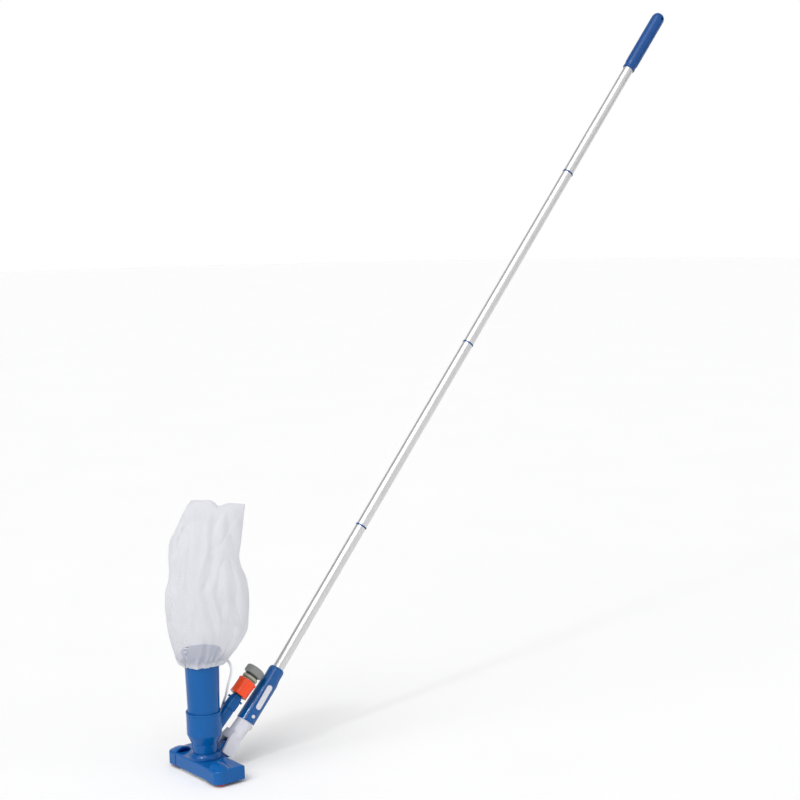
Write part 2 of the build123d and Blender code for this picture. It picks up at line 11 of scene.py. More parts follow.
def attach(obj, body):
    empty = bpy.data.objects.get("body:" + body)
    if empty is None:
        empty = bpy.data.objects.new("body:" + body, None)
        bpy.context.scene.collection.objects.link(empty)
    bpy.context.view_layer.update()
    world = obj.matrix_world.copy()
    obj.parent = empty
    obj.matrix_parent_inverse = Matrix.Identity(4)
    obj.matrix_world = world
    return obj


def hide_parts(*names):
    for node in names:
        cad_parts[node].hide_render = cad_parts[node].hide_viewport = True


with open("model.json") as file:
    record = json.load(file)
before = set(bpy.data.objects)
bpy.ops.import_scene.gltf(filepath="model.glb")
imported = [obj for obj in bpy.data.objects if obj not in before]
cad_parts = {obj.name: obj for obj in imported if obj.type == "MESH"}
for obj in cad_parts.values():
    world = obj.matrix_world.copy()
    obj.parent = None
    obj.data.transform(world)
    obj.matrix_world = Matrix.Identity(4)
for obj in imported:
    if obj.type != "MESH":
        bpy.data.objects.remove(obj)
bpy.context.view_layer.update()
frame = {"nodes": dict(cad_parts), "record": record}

scene = bpy.context.scene
scene.view_settings.view_transform = "Standard"
scene.view_settings.look = "None"
nodes_cad = frame["nodes"]
MM = 0.001
# across the bag (to the right in the main view) and towards the main view
WDIR = Vector((0.6203, 0.7844, 0))
DDIR = Vector((0.7844, -0.6203, 0))

# ------------------------------------------------------------------ node helpers


class Mat:
    """A small helper that builds a node material."""

    def __init__(self, name):
        self.m = bpy.data.materials.new(name)
        self.m.use_nodes = True
        self.t = self.m.node_tree
        self.t.nodes.clear()
        self.out = self.t.nodes.new("ShaderNodeOutputMaterial")
        self.x = -200

    def n(self, kind, **kw):
        nd = self.t.nodes.new(kind)
        self.x -= 40
        nd.location = (self.x, random.Random(len(self.t.nodes)).uniform(-300, 300))
        for k, v in kw.items():
            setattr(nd, k, v)
        return nd

    def link(self, a, b):
        self.t.links.new(a, b)

    def coords(self, rot=(0, 0, 0), scale=(1, 1, 1)):
        c = self.n("ShaderNodeTexCoord")
        mp = self.n("ShaderNodeMapping")
        mp.inputs["Rotation"].default_value = rot
        mp.inputs["Scale"].default_value = scale
        self.link(c.outputs["Object"], mp.inputs["Vector"])
        return mp.outputs["Vector"]

    def noise(self, vec, scale, detail=3.0, rough=0.5, dist=0.0):
        nd = self.n("ShaderNodeTexNoise")
        nd.inputs["Scale"].default_value = scale
        nd.inputs["Detail"].default_value = detail
        nd.inputs["Roughness"].default_value = rough
        nd.inputs["Distortion"].default_value = dist
        self.link(vec, nd.inputs["Vector"])
        return nd.outputs["Fac"]

    def ramp(self, fac, stops):
        r = self.n("ShaderNodeValToRGB")
        e = r.color_ramp.elements
        while len(e) < len(stops):
            e.new(0.5)
        for el, (p, c) in zip(e, stops):
            el.position = p
            el.color = (c[0], c[1], c[2], 1) if hasattr(c, "__len__") else (c, c, c, 1)
        self.link(fac, r.inputs["Fac"])
        return r.outputs["Color"]

    def rng(self, fac, a, b, lo=0.0, hi=1.0):
        r = self.n("ShaderNodeMapRange")
        r.inputs["From Min"].default_value = lo
        r.inputs["From Max"].default_value = hi
        r.inputs["To Min"].default_value = a
        r.inputs["To Max"].default_value = b
        self.link(fac, r.inputs["Value"])
        return r.outputs["Result"]

    def math(self, op, a, b=None):
        r = self.n("ShaderNodeMath", operation=op)
        for i, v in enumerate((a, b)):
            if v is None:
                continue
            if isinstance(v, (int, float)):
                r.inputs[i].default_value = v
            else:
                self.link(v, r.inputs[i])
        return r.outputs[0]

    def mix(self, fac, a, b, blend="MIX"):
        r = self.n("ShaderNodeMix", data_type="RGBA", blend_type=blend)
        for sock, v in ((r.inputs[0], fac), (r.inputs[6], a), (r.inputs[7], b)):
            if isinstance(v, (int, float)):
                sock.default_value = v
            elif isinstance(v, (tuple, list)):
                sock.default_value = (v[0], v[1], v[2], 1)
            else:
                self.link(v, sock)
        return r.outputs[2]

    def bump(self, height, strength, distance, normal=None):
        b = self.n("ShaderNodeBump")
        b.inputs["Strength"].default_value = strength
        b.inputs["Distance"].default_value = distance
        self.link(height, b.inputs["Height"])
        if normal is not None:
            self.link(normal, b.inputs["Normal"])
        return b.outputs["Normal"]

    def principled(self, **kw):
        p = self.n("ShaderNodeBsdfPrincipled")
        for k, v in kw.items():
            sock = p.inputs[k]
            if isinstance(v, (int, float)):
                sock.default_value = v
            elif isinstance(v, (tuple, list)):
                sock.default_value = (v[0], v[1], v[2], 1) if len(v) == 3 and sock.type == "RGBA" else v
            else:
                self.link(v, sock)
        self.link(p.outputs[0], self.out.inputs["Surface"])
        self.p = p
        return p


def srgb(r, g, b):
    f = lambda c: c / 12.92 if c <= 0.04045 else ((c + 0.055) / 1.055) ** 2.4
    return (f(r), f(g), f(b))


def shade(c, k):
    return tuple(min(1.0, v * k) for v in c)


def plastic(name, rgb, rough=0.25, coat=0.0, grain=0.5, spec=0.5, sss=0.0, ripple=0.08):
    """Moulded plastic: slight flow colour variation, a fine grain, sink ripple and a few hair scratches."""
    m = Mat(name)
    v = m.coords()
    big = m.noise(v, 9.0, 2.0, 0.5)
    flow = m.noise(m.coords(scale=(1.0, 1.0, 0.3)), 45.0, 3.0, 0.55, 0.5)
    base = m.mix(m.rng(big, 0.0, 1.0, 0.3, 0.7), shade(rgb, 0.95), shade(rgb, 1.04))
    base = m.mix(m.rng(flow, 0.0, 0.3, 0.42, 0.8), base, shade(rgb, 1.07))
    speck = m.noise(v, 900.0, 2.0, 0.7)
    base = m.mix(m.rng(speck, 0.0, 0.08, 0.64, 0.76), base, shade(rgb, 0.75))
    scr = m.noise(m.coords(rot=(0.3, 0.9, 0.5), scale=(1.0, 0.03, 1.0)), 420.0, 3.0, 0.6)
    scr = m.rng(scr, 0.0, 1.0, 0.68, 0.76)
    r = m.math("ADD", m.rng(big, rough - 0.02, rough + 0.05, 0.3, 0.7), m.math("MULTIPLY", scr, 0.10))
    grainy = m.noise(v, 2600.0, 2.0, 0.6)
    nrm = m.bump(grainy, 0.08 * grain, 0.00008)
    nrm = m.bump(m.noise(v, 60.0, 2.0, 0.5), ripple, 0.0006, nrm)
    nrm = m.bump(scr, 0.04, 0.0001, nrm)
    p = m.principled(**{"Base Color": base, "Roughness": r, "Normal": nrm, "Coat Weight": coat, "Coat Roughness": 0.08, "Specular IOR Level": spec})
    if sss:
        p.inputs["Subsurface Weight"].default_value = sss
        p.inputs["Subsurface Radius"].default_value = (1.0, 0.9, 0.8)
        p.inputs["Subsurface Scale"].default_value = 0.002
    return m.m


BLUE = srgb(0.02, 0.340, 0.605)
BLUE_DEEP = srgb(0.015, 0.30, 0.56)
BLUE_SLEEVE = srgb(0.0, 0.325, 0.585)
BLUE_TRIM = srgb(0.015, 0.27, 0.52)
WHITE = srgb(0.84, 0.84, 0.87)
CREAM = srgb(0.86, 0.84, 0.76)
ORANGE = srgb(1.0, 0.31, 0.12)
WHEEL = srgb(0.95, 0.22, 0.13)
GREY = srgb(0.575, 0.58, 0.575)
DARK_GREY = srgb(0.30, 0.30, 0.285)
BAND = srgb(0.66, 0.65, 0.58)
BLACK = srgb(0.05, 0.05, 0.055)
# pocket liner: its own colour, set lighter than the body blue so that the deeply shaded pocket shows dark blue rather
# than black; this is painted bounce light inside the recess
POCKET_PAINTED_LIGHT = srgb(0.04, 0.36, 0.74)

MATS = {
    "blue_body": plastic("m_blue_body", BLUE, 0.14, 0.0, spec=0.25),
    "blue_deep": plastic("m_blue_deep", BLUE_DEEP, 0.15, 0.0, spec=0.3),
    "blue_sleeve": plastic("m_blue_sleeve", BLUE_SLEEVE, 0.13, 0.0, spec=0.45, ripple=0.04),
    "blue_trim": plastic("m_blue_trim", BLUE_TRIM, 0.28, 0.0, spec=0.35),
    "white_plastic": plastic("m_white_plastic", WHITE, 0.34, 0.0, spec=0.4, sss=0.08),
    "cream_plastic": plastic("m_cream_plastic", CREAM, 0.4, 0.0, spec=0.4, sss=0.08),
    "orange": plastic("m_orange", ORANGE, 0.27, 0.0, spec=0.4),
    "wheel_orange": plastic("m_wheel_orange", WHEEL, 0.4, 0.0, spec=0.35),
    "grey_plastic": plastic("m_grey_plastic", GREY, 0.36, 0.0, spec=0.4),
    "dark_grey": plastic("m_dark_grey", DARK_GREY, 0.4, 0.0, spec=0.35),
    "band_beige": plastic("m_band_beige", BAND, 0.36, 0.0, spec=0.4),
    "black_plastic": plastic("m_black_plastic", BLACK, 0.36, 0.0, spec=0.4),
    # pocket liner material: its colour is painted light for the shaded pocket, not a different plastic
    "dark_inner": plastic("m_pocket_painted_light", POCKET_PAINTED_LIGHT, 0.3, 0.0, spec=0.3),
}


def aluminium():
    m = Mat("m_aluminium_tube")
    rot = (math.radians(-40.1), 0, 0)
    along = m.coords(rot=(math.radians(40.1), 0, 0), scale=(1.0, 1.0, 0.012))
    fine = m.noise(along, 2400.0, 3.0, 0.6)
    wide = m.noise(along, 500.0, 2.0, 0.5)
    blot = m.noise(m.coords(), 14.0, 4.0, 0.6)
    base = m.mix(m.rng(fine, 0.0, 1.0, 0.3, 0.7), srgb(0.80, 0.80, 0.805), srgb(0.90, 0.90, 0.90))
    base = m.mix(m.rng(wide, 0.0, 0.35, 0.4, 0.7), base, srgb(0.74, 0.74, 0.745))
    base = m.mix(m.rng(blot, 0.0, 0.18, 0.45, 0.75), base, srgb(0.70, 0.70, 0.71))
    r = m.rng(fine, 0.30, 0.42, 0.3, 0.7)
    nrm = m.bump(fine, 0.10, 0.00005)
    m.principled(**{"Base Color": base, "Metallic": 1.0, "Roughness": r, "Normal": nrm, "Anisotropic": 0.0})
    return m.m


def steel():
    m = Mat("m_steel")
    v = m.coords()
    a = m.noise(v, 700.0, 4.0, 0.6)
    b = m.noise(v, 60.0, 3.0, 0.5)
    base = m.mix(m.rng(a, 0.0, 1.0, 0.3, 0.7), srgb(0.66, 0.66, 0.67), srgb(0.78, 0.78, 0.78))
    r = m.rng(b, 0.25, 0.42, 0.3, 0.7)
    m.principled(**{"Base Color": base, "Metallic": 1.0, "Roughness": r, "Normal": m.bump(a, 0.1, 0.0001)})
    return m.m


def rubber():
    m = Mat("m_seal_rubber")
    v = m.coords()
    a = m.noise(v, 500.0, 4.0, 0.6)
    base = m.mix(m.rng(a, 0.0, 1.0, 0.3, 0.7), srgb(0.10, 0.10, 0.10), srgb(0.17, 0.17, 0.17))
    m.principled(**{"Base Color": base, "Roughness": m.rng(a, 0.6, 0.8, 0.3, 0.7), "Normal": m.bump(a, 0.25, 0.0002)})
    return m.m


def bristle_mat():
    m = Mat("m_bristle")
    v = m.coords(scale=(1, 1, 0.05))
    a = m.noise(v, 1800.0, 2.0, 0.6)
    base = m.mix(m.rng(a, 0.0, 1.0, 0.3, 0.7), srgb(0.82, 0.82, 0.84), srgb(0.95, 0.95, 0.96))
    p = m.principled(**{"Base Color": base, "Roughness": m.rng(a, 0.35, 0.5, 0.3, 0.7)})
    p.inputs["Subsurface Weight"].default_value = 0.1
    p.inputs["Subsurface Scale"].default_value = 0.001
    return m.m


MATS["aluminium_tube"] = aluminium()
MATS["steel"] = steel()
MATS["seal_rubber"] = rubber()
MATS["bristle"] = bristle_mat()

slot_of = {s["node"]: s["material_slot"] for s in frame["record"]["subparts"]}
for name, ob in nodes_cad.items():
    mat = MATS.get(slot_of.get(name, ""), None)
    if mat is None:
        continue
    if not ob.material_slots:
        ob.data.materials.append(mat)
    for s in ob.material_slots:
        s.material = mat

# ------------------------------------------------------------------ mesh helpers


def obj_from(name, verts, faces, mat, smooth=True):
    me = bpy.data.meshes.new(name)
    me.from_pydata([tuple(v) for v in verts], [], faces)
    me.validate()
    me.update()
    if smooth:
        me.polygons.foreach_set("use_smooth", [True] * len(me.polygons))
    ob = bpy.data.objects.new(name, me)
    scene.collection.objects.link(ob)
    me.materials.append(mat)
    return ob


def interp(table, z):
    """Smooth interpolation of rows (z, values...) at height z."""
    t = np.array(table, float)
    zs = t[:, 0]
    out = []
    for c in range(1, t.shape[1]):
        ys = t[:, c]
        d = np.gradient(ys, zs)
        i = int(np.clip(np.searchsorted(zs, z) - 1, 0, len(zs) - 2))
        h = zs[i + 1] - zs[i]
        s = np.clip((z - zs[i]) / h, 0, 1)
        h00, h10, h01, h11 = 2 * s**3 - 3 * s**2 + 1, s**3 - 2 * s**2 + s, -2 * s**3 + 3 * s**2, s**3 - s**2
        out.append(h00 * ys[i] + h10 * h * d[i] + h01 * ys[i + 1] + h11 * h * d[i + 1])
    return out


# ------------------------------------------------------------------ mesh bag


def fabric_mesh(name, rgb, hole=0.35, pitch=1.1, dense=(0.214, 0.240, 0.18)):
    """Fine woven mesh: threads both ways, small open holes, a soft sheen."""
    m = Mat(name)
    v = m.coords()
    rot = m.coords(rot=(0, 0, -math.atan2(WDIR.y, WDIR.x)))
    k = 2 * math.pi / (pitch * MM)
    sep = m.n("ShaderNodeSeparateXYZ")
    m.link(rot, sep.inputs[0])
    warp = m.noise(v, 30.0, 2.0, 0.5)
    off = m.rng(warp, -0.004, 0.004, 0.2, 0.8)
    ang = m.math("ADD", m.math("ADD", sep.outputs[0], sep.outputs[1]), off)
    a = m.math("SINE", m.math("MULTIPLY", ang, k))
    b = m.math("SINE", m.math("MULTIPLY", m.math("ADD", sep.outputs[2], off), k))
    a01 = m.rng(a, 0.0, 1.0, -1.0, 1.0)
    b01 = m.rng(b, 0.0, 1.0, -1.0, 1.0)
    gap = m.math("MULTIPLY", a01, b01)
    big = m.noise(v, 26.0, 4.0, 0.55)
    base = m.mix(m.rng(big, 0.0, 1.0, 0.3, 0.7), shade(rgb, 0.965), shade(rgb, 1.02))
    base = m.mix(m.rng(gap, 0.0, 0.22, 0.2, 0.9), base, shade(rgb, 0.86))
    thread = m.math("MAXIMUM", m.math("SUBTRACT", 1.0, a01), m.math("SUBTRACT", 1.0, b01))
    nrm = m.bump(thread, 0.22, 0.00022)
    nrm = m.bump(m.noise(v, 210.0, 4.0, 0.6), 0.25, 0.0009, nrm)
    p = m.n("ShaderNodeBsdfPrincipled")
    p.inputs["Roughness"].default_value = 0.62
    p.inputs["Sheen Weight"].default_value = 0.15
    p.inputs["Specular IOR Level"].default_value = 0.3
    m.link(base, p.inputs["Base Color"])
    m.link(nrm, p.inputs["Normal"])
    tr = m.n("ShaderNodeBsdfTranslucent")
    m.link(base, tr.inputs["Color"])
    m.link(nrm, tr.inputs["Normal"])
    mx = m.n("ShaderNodeMixShader")
    mx.inputs[0].default_value = 0.35
    m.link(p.outputs[0], mx.inputs[1])
    m.link(tr.outputs[0], mx.inputs[2])
    clear = m.n("ShaderNodeBsdfTransparent")
    mx2 = m.n("ShaderNodeMixShader")
    # the gathers close the holes towards the hem
    up = m.n("ShaderNodeSeparateXYZ")
    m.link(v, up.inputs[0])
    streak = m.noise(m.coords(scale=(1.0, 1.0, 0.22)), 150.0, 3.0, 0.55)
    lift = m.math("ADD", up.outputs[2], m.rng(streak, -0.010, 0.010, 0.3, 0.7))
    openness = m.math("MULTIPLY", m.rng(gap, 0.0, hole, 0.1, 0.45), m.rng(lift, dense[2], 1.0, dense[0], dense[1]))
    m.link(openness, mx2.inputs[0])
    m.link(mx.outputs[0], mx2.inputs[1])
    m.link(clear.outputs[0], mx2.inputs[2])
    m.link(mx2.outputs[0], m.out.inputs["Surface"])
    return m.m


MESH_RGB = srgb(0.893, 0.895, 0.914)
mesh_mat = fabric_mesh("m_mesh_bag", MESH_RGB, 0.92)
hem_mat = fabric_mesh("m_mesh_hem", shade(MESH_RGB, 1.03), 0.55, 0.9)

# left and right outline of the bag (height, left, right) in millimetres across the view, and half depth
LEFT = [(211, -35.0), (213.5, -35.4), (217, -39.0), (221, -42.2), (226, -46.2), (238, -51.3), (250, -55.6), (265, -59.2), (280, -62), (303, -64), (327, -65), (340, -65.0), (352, -64.6),
        (364, -62), (376, -58.2), (389, -55), (401, -53.6), (413, -53.8), (425, -54), (438, -53.2), (450, -51.7), (459, -49), (467, -45), (484, -37), (501, -29.5), (513, -23), (521, -18), (526, -14)]
RIGHT = [(211, 36.8), (215.3, 41.0), (221, 46.2), (227.8, 52.4), (234, 57.6), (240, 63.2), (247, 69.6), (261, 79.6), (276, 87.8), (293, 91.6), (311, 93.5), (330, 94.8), (348, 95.1), (360, 94.4),
         (373, 93.1), (388, 88), (403, 82), (413, 79), (423, 77.9), (441, 80), (459, 82.7), (482, 86), (505, 89.2), (515, 91.2), (521, 92)]
DEPTH = [(211, 35.4), (217, 36.6), (221, 38.6), (228, 43.0), (240, 47.5), (262, 51.5), (290, 52.5), (320, 51), (350, 47.5), (385, 42), (420, 36), (455, 28.5), (485, 20.5), (508, 12.5),
         (521, 7.0), (527, 4.0)]
# top seam: (across, height)
TOPLINE = [(-18, 522), (-15.5, 528), (-11.6, 532.4), (-2, 532.6), (9.9, 531.4), (20, 531.8), (26.7, 531), (33, 526.5), (40, 521.5), (44.1, 520), (50, 522), (56, 524.5), (62.3, 525.4),
           (75, 524.4), (85, 523.4), (92, 522.4)]
# lower edge of the cloth round the riser: (angle from the bag's right side, height)
EDGE = [(-180, 213.8), (-150, 214.6), (-90, 216.2), (-45, 216.0), (-20, 215.6), (0, 216.4), (14, 218.2), (30, 220.2), (58, 220.6), (83, 218.8), (106, 217.2), (127, 218.2), (150, 216.2), (180, 213.8)]
# creases on the side towards the main view: points (across, height), depth, half width
FRONT_FOLDS = [
    ([(44, 520), (38, 500), (33, 470), (31.5, 430), (25, 392), (15, 371), (20.6, 343), (27.6, 316), (34.6, 288), (33, 262)], -4.2, 8.0),
    ([(39, 450), (39.5, 410), (40, 369), (47, 340), (54, 314), (56, 290)], -2.6, 9.0),
    ([(58, 512), (64, 493), (66.5, 470), (69, 446), (78, 426)], -3.2, 8.0),
    ([(10, 528), (8, 500), (12, 470), (10, 440), (3, 410)], -2.2, 9.0),
    ([(-12, 505), (-24, 470), (-33, 440), (-36, 405), (-42, 375), (-46, 345)], -2.4, 8.0),
    ([(-46, 452), (-38, 466), (-28, 478)], 2.2, 4.0),
    ([(-30, 480), (-20, 474)], -1.6, 4.0),
    ([(-8, 410), (-12, 375), (-22, 340), (-30, 300), (-28, 270)], -2.2, 9.0),
    ([(4, 350), (-4, 315), (-6, 285), (2, 258)], -1.8, 7.0),
    ([(62, 400), (68, 370), (72, 335), (68, 300), (56, 268)], -2.4, 9.0),
    ([(78, 415), (84, 388), (88, 360)], -2.2, 6.0),
]
BACK_FOLDS = [
    ([(44, 520), (46, 490), (40, 455), (44, 420), (52, 385), (48, 350), (40, 315), (44, 280)], -4.0, 8.5),
    ([(0, 525), (-4, 490), (-14, 455), (-16, 415), (-26, 380), (-30, 340), (-22, 300), (-26, 262)], -3.4, 9.0),
    ([(70, 510), (66, 478), (70, 446), (74, 424)], -2.8, 8.0),
    ([(18, 470), (14, 430), (20, 392), (12, 352), (4, 318), (8, 285)], -2.6, 8.0),
    ([(74, 400), (70, 362), (74, 325), (66, 290)], -2.6, 9.0),
    ([(-40, 440), (-44, 405), (-48, 372)], -2.0, 7.0),
]
Z_BOT = 213.5


def bag_surface(nu=336, nv=190):
    """Lofted shell of the bag before its gathers, folds and creases are put in."""
    tw = np.array([p[0] for p in TOPLINE], float)
    tz = np.array([p[1] for p in TOPLINE], float)
    ea = np.array([p[0] for p in EDGE], float)
    ez = np.array([p[1] for p in EDGE], float)
    V = np.zeros((nv + 1, nu, 3))
    for j in range(nv + 1):
        t = (j / nv) ** 1.25
        for i in range(nu):
            th = 2 * math.pi * i / nu
            ct, st = math.cos(th), math.sin(th)
            ztop = float(np.interp(37.0 + 55.0 * ct, tw, tz))
            zbot = float(np.interp(math.degrees(math.atan2(st, ct)), ea, ez))
            z = zbot + (ztop - zbot) * t
            (l,) = interp(LEFT, min(z, 526.0))
            (r,) = interp(RIGHT, min(z, 521.0))
            (b,) = interp(DEPTH, min(z, 527.0))
            a, c = (r - l) / 2, (r + l) / 2
            k = np.clip((z - 400) / 110, 0, 1)
            w = c + a * ct
            d = b * math.copysign(abs(st) ** (1.0 + 0.25 * k), st)
            if ztop - z < 3.5:
                d = (0.45 + 0.5 * (ztop - z)) * (math.copysign(1, st) if abs(st) > 1e-6 else 0.0) * min(1.0, abs(st) * 5)
            V[j, i] = (w, d, z)
    return V


def near(folds, w, z):
    """Sum of the creases at a point, each with a rounded valley profile and tapering ends."""
    h = 0.0
    for pts, depth, half in folds:
        best, where = 1e9, 0.0
        n = len(pts) - 1
        for i in range(n):
            ax, az = pts[i]
            bx, bz = pts[i + 1]
            dx, dz = bx - ax, bz - az
            q = max(0.0, min(1.0, ((w - ax) * dx + (z - az) * dz) / (dx * dx + dz * dz)))
            dist = math.hypot(w - ax - q * dx, z - az - q * dz)
            if dist < best:
                best, where = dist, (i + q) / n
        if best < half * 2.6:
            x = best / half
            end = min(1.0, 4.5 * min(where, 1 - where) + 0.15)
            h += depth * end * (math.exp(-(x * x) * 1.1) - 0.35 * math.exp(-((x - 1.7) ** 2) * 2.2))
    return h


def pleat_phase(th, up):
    c, s_ = math.cos(th), math.sin(th)
    return 23 * th + 6.0 * noise.noise(Vector((c * 1.9, s_ * 1.9, 3.3))) + 2.0 * noise.noise(Vector((c * 0.8, s_ * 0.8, 7.7 + up * 0.02)))


def wrinkle(V):
    """Moves the shell's points: gathers folded over each other at the hem, long soft folds above."""
    nv1, nu, _ = V.shape
    du = np.roll(V, -1, axis=1) - np.roll(V, 1, axis=1)
    dv = np.gradient(V, axis=0)
    N = np.cross(du, dv)
    N /= np.maximum(np.linalg.norm(N, axis=2, keepdims=True), 1e-9)
    out = V.copy()
    for j in range(nv1):
        for i in range(nu):
            w, d, z = V[j, i]
            th = 2 * math.pi * i / nu
            up = z - V[0, i, 2]
            c, s_ = math.cos(th), math.sin(th)
            ph = pleat_phase(th, up)
            loud = 0.55 + 0.9 * noise.noise(Vector((c * 2.6, s_ * 2.6, 1.1)))
            loud = max(0.25, min(1.25, loud + 0.2))
            amp = (2.6 * math.exp(-up / 13.0) + 1.5 * math.exp(-up / 42.0)) * loud * min(1.0, (up + 1.5) / 7.0)
            h = amp * (math.sin(ph) - 0.15)
            # the gathers lean over, so that the cloth lies double there
            lean = 3.4 * math.exp(-up / 11.0) * loud * min(1.0, (up + 3.0) / 7.0) * math.cos(ph)
            ph2 = 9 * th + 4.0 * noise.noise(Vector((c * 1.3, s_ * 1.3, 8.1 + z * 0.004)))
            h += -2.2 * math.exp(-((up - 34) / 40.0) ** 2) * (0.5 + 0.5 * math.sin(ph2)) ** 3
            fade = min(1.0, max(0.0, up / 40.0)) * min(1.0, max(0.12, (V[-1, i, 2] - z) / 26.0))
            wn = 4.0 * noise.noise(Vector((w * 0.02, z * 0.016, 2.0)))
            h += fade * near(FRONT_FOLDS if d > 0 else BACK_FOLDS, w + wn, z) * min(1.0, abs(s_) * 2.2)
            n1 = noise.noise(Vector((w * 0.016 + 0.004 * z, d * 0.016, z * 0.0075)) + Vector((5.2, 1.3, 0.7)))
            h += fade * 3.0 * n1
            n2 = noise.noise(Vector((w * 0.034 - z * 0.010, d * 0.034, z * 0.013 + w * 0.006)) + Vector((1.7, 9.2, 4.4)))
            h += fade * (-1.3 * (max(0.0, 1.0 - abs(n2) * 3.6)) ** 2.2)
            h += 0.30 * noise.noise(Vector((w * 0.07, d * 0.07, z * 0.04)))
            T = np.array((-s_, c, 0.0))
            q = V[j, i] + N[j, i] * h + T * lean
            # clear of the riser and its flange
            r = math.hypot(q[0], q[1])
            if q[2] < 247 and r < 60:
                lim = 34.6 + 5.2 * min(1.0, max(0.0, (q[2] - 226.5) / 6.0))
                if r < lim:
                    q[0] *= lim / r
                    q[1] *= lim / r
            out[j, i] = q
    return out


def to_frame(q):
    return (WDIR * float(q[0]) + DDIR * float(q[1])) * MM + Vector((0, 0, float(q[2]) * MM))


def make_bag():
    V = wrinkle(bag_surface())
    nv1, nu, _ = V.shape
    pts = [to_frame(V[j, i]) for j in range(nv1) for i in range(nu)]
    faces = []
    for j in range(nv1 - 1):
        for i in range(nu):
            a0, a1 = j * nu + i, j * nu + (i + 1) % nu
            faces.append((a0, a1, a1 + nu, a0 + nu))
    ob = obj_from("mesh_bag_cloth", pts, faces, mesh_mat)
    bm = bmesh.new()
    bm.from_mesh(ob.data)
    bmesh.ops.recalc_face_normals(bm, faces=bm.faces)
    bm.to_mesh(ob.data)
    bm.free()
    return ob, V


bag, SHELL = make_bag()
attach(bag, "suction_head")
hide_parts("mesh_bag")


# doubled hem: the cloth's lower edge turned in over the cord channel, lying on the riser
def make_hem():
    nv1, nu, _ = SHELL.shape
    up = SHELL[:, :, 2].mean(axis=1) - SHELL[0, :, 2].mean()
    top = int(np.searchsorted(up, 8.5))
    rows = []
    for j in range(top, -1, -1):
        row = []
        for i in range(nu):
            q = SHELL[j, i].copy()
            th = 2 * math.pi * i / nu
            r = math.hypot(q[0], q[1])
            f = (r + 0.55 + 0.3 * noise.noise(Vector((math.cos(th) * 9, math.sin(th) * 9, j * 0.35)))) / r
            row.append((q[0] * f, q[1] * f, q[2] - 0.5))
        rows.append(row)
    base = [SHELL[0, i].copy() for i in range(nu)]
    for dr, dz in ((0.45, -1.5), (-0.1, -2.0), (-0.7, -1.7), (-1.0, -0.6), (-1.1, 1.6), (-1.1, 5.0)):
        row = []
        for i in range(nu):
            q = base[i]
            th = 2 * math.pi * i / nu
            r = math.hypot(q[0], q[1])
            rr = max(33.75, r + dr)
            wob = 0.7 * noise.noise(Vector((math.cos(th) * 5, math.sin(th) * 5, 4.4)))
            row.append((q[0] * rr / r, q[1] * rr / r, q[2] + dz + wob * (dz < 1)))
        rows.append(row)
    pts = [to_frame(q) for row in rows for q in row]
    faces = []
    for j in range(len(rows) - 1):
        for i in range(nu):
            a0, a1 = j * nu + i, j * nu + (i + 1) % nu
            faces.append((a0, a0 + nu, a1 + nu, a1))
    return obj_from("bag_hem_cloth", pts, faces, hem_mat)


# top seam: a narrow turned edge that closes the two sheets
def make_seam():
    nv1, nu, _ = SHELL.shape
    pts, faces = [], []
    half = nu // 2
    for i in range(1, half):
        f, b = SHELL[nv1 - 1, i], SHELL[nv1 - 1, nu - i]
        m = (f + b) / 2
        for q, off, dz in ((f, 0.25, -3.0), (f, 0.30, -0.2), (m, 0.0, 0.35), (b, -0.30, -0.2), (b, -0.25, -3.0)):
            pts.append(to_frame((q[0], q[1] + off, q[2] + dz)))
    for i in range(half - 2):
        for k in range(4):
            a0 = i * 5 + k
            faces.append((a0, a0 + 1, a0 + 6, a0 + 5))
    return obj_from("bag_seam_cloth", pts, faces, hem_mat)


seam = make_seam()
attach(seam, "suction_head")
hem = make_hem()
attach(hem, "suction_head")
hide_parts("bag_hem")

# ------------------------------------------------------------------ drawstring


def cord_mat():
    m = Mat("m_cord")
    c = m.n("ShaderNodeTexCoord")
    mp = m.n("ShaderNodeMapping")
    mp.inputs["Scale"].default_value = (60.0, 4.0, 1.0)
    m.link(c.outputs["UV"], mp.inputs["Vector"])
    sep = m.n("ShaderNodeSeparateXYZ")
    m.link(mp.outputs[0], sep.inputs[0])
    k = 2 * math.pi
    a = m.math("SINE", m.math("MULTIPLY", m.math("ADD", sep.outputs[0], sep.outputs[1]), k))
    b = m.math("SINE", m.math("MULTIPLY", m.math("SUBTRACT", sep.outputs[0], sep.outputs[1]), k))
    braid = m.math("MULTIPLY", m.rng(a, 0, 1, -1, 1), m.rng(b, 0, 1, -1, 1))
    v = m.coords()
    fine = m.noise(v, 1500.0, 3.0, 0.6)
    base = m.mix(m.rng(braid, 0.0, 0.5, 0.0, 0.9), srgb(0.95, 0.95, 0.955), srgb(0.80, 0.80, 0.82))
    base = m.mix(m.rng(fine, 0.0, 0.3, 0.4, 0.8), base, srgb(0.86, 0.86, 0.87))
    nrm = m.bump(braid, 0.45, 0.0004)
    nrm = m.bump(fine, 0.2, 0.0002, nrm)
    m.principled(**{"Base Color": base, "Roughness": 0.75, "Normal": nrm, "Sheen Weight": 0.2})
    return m.m


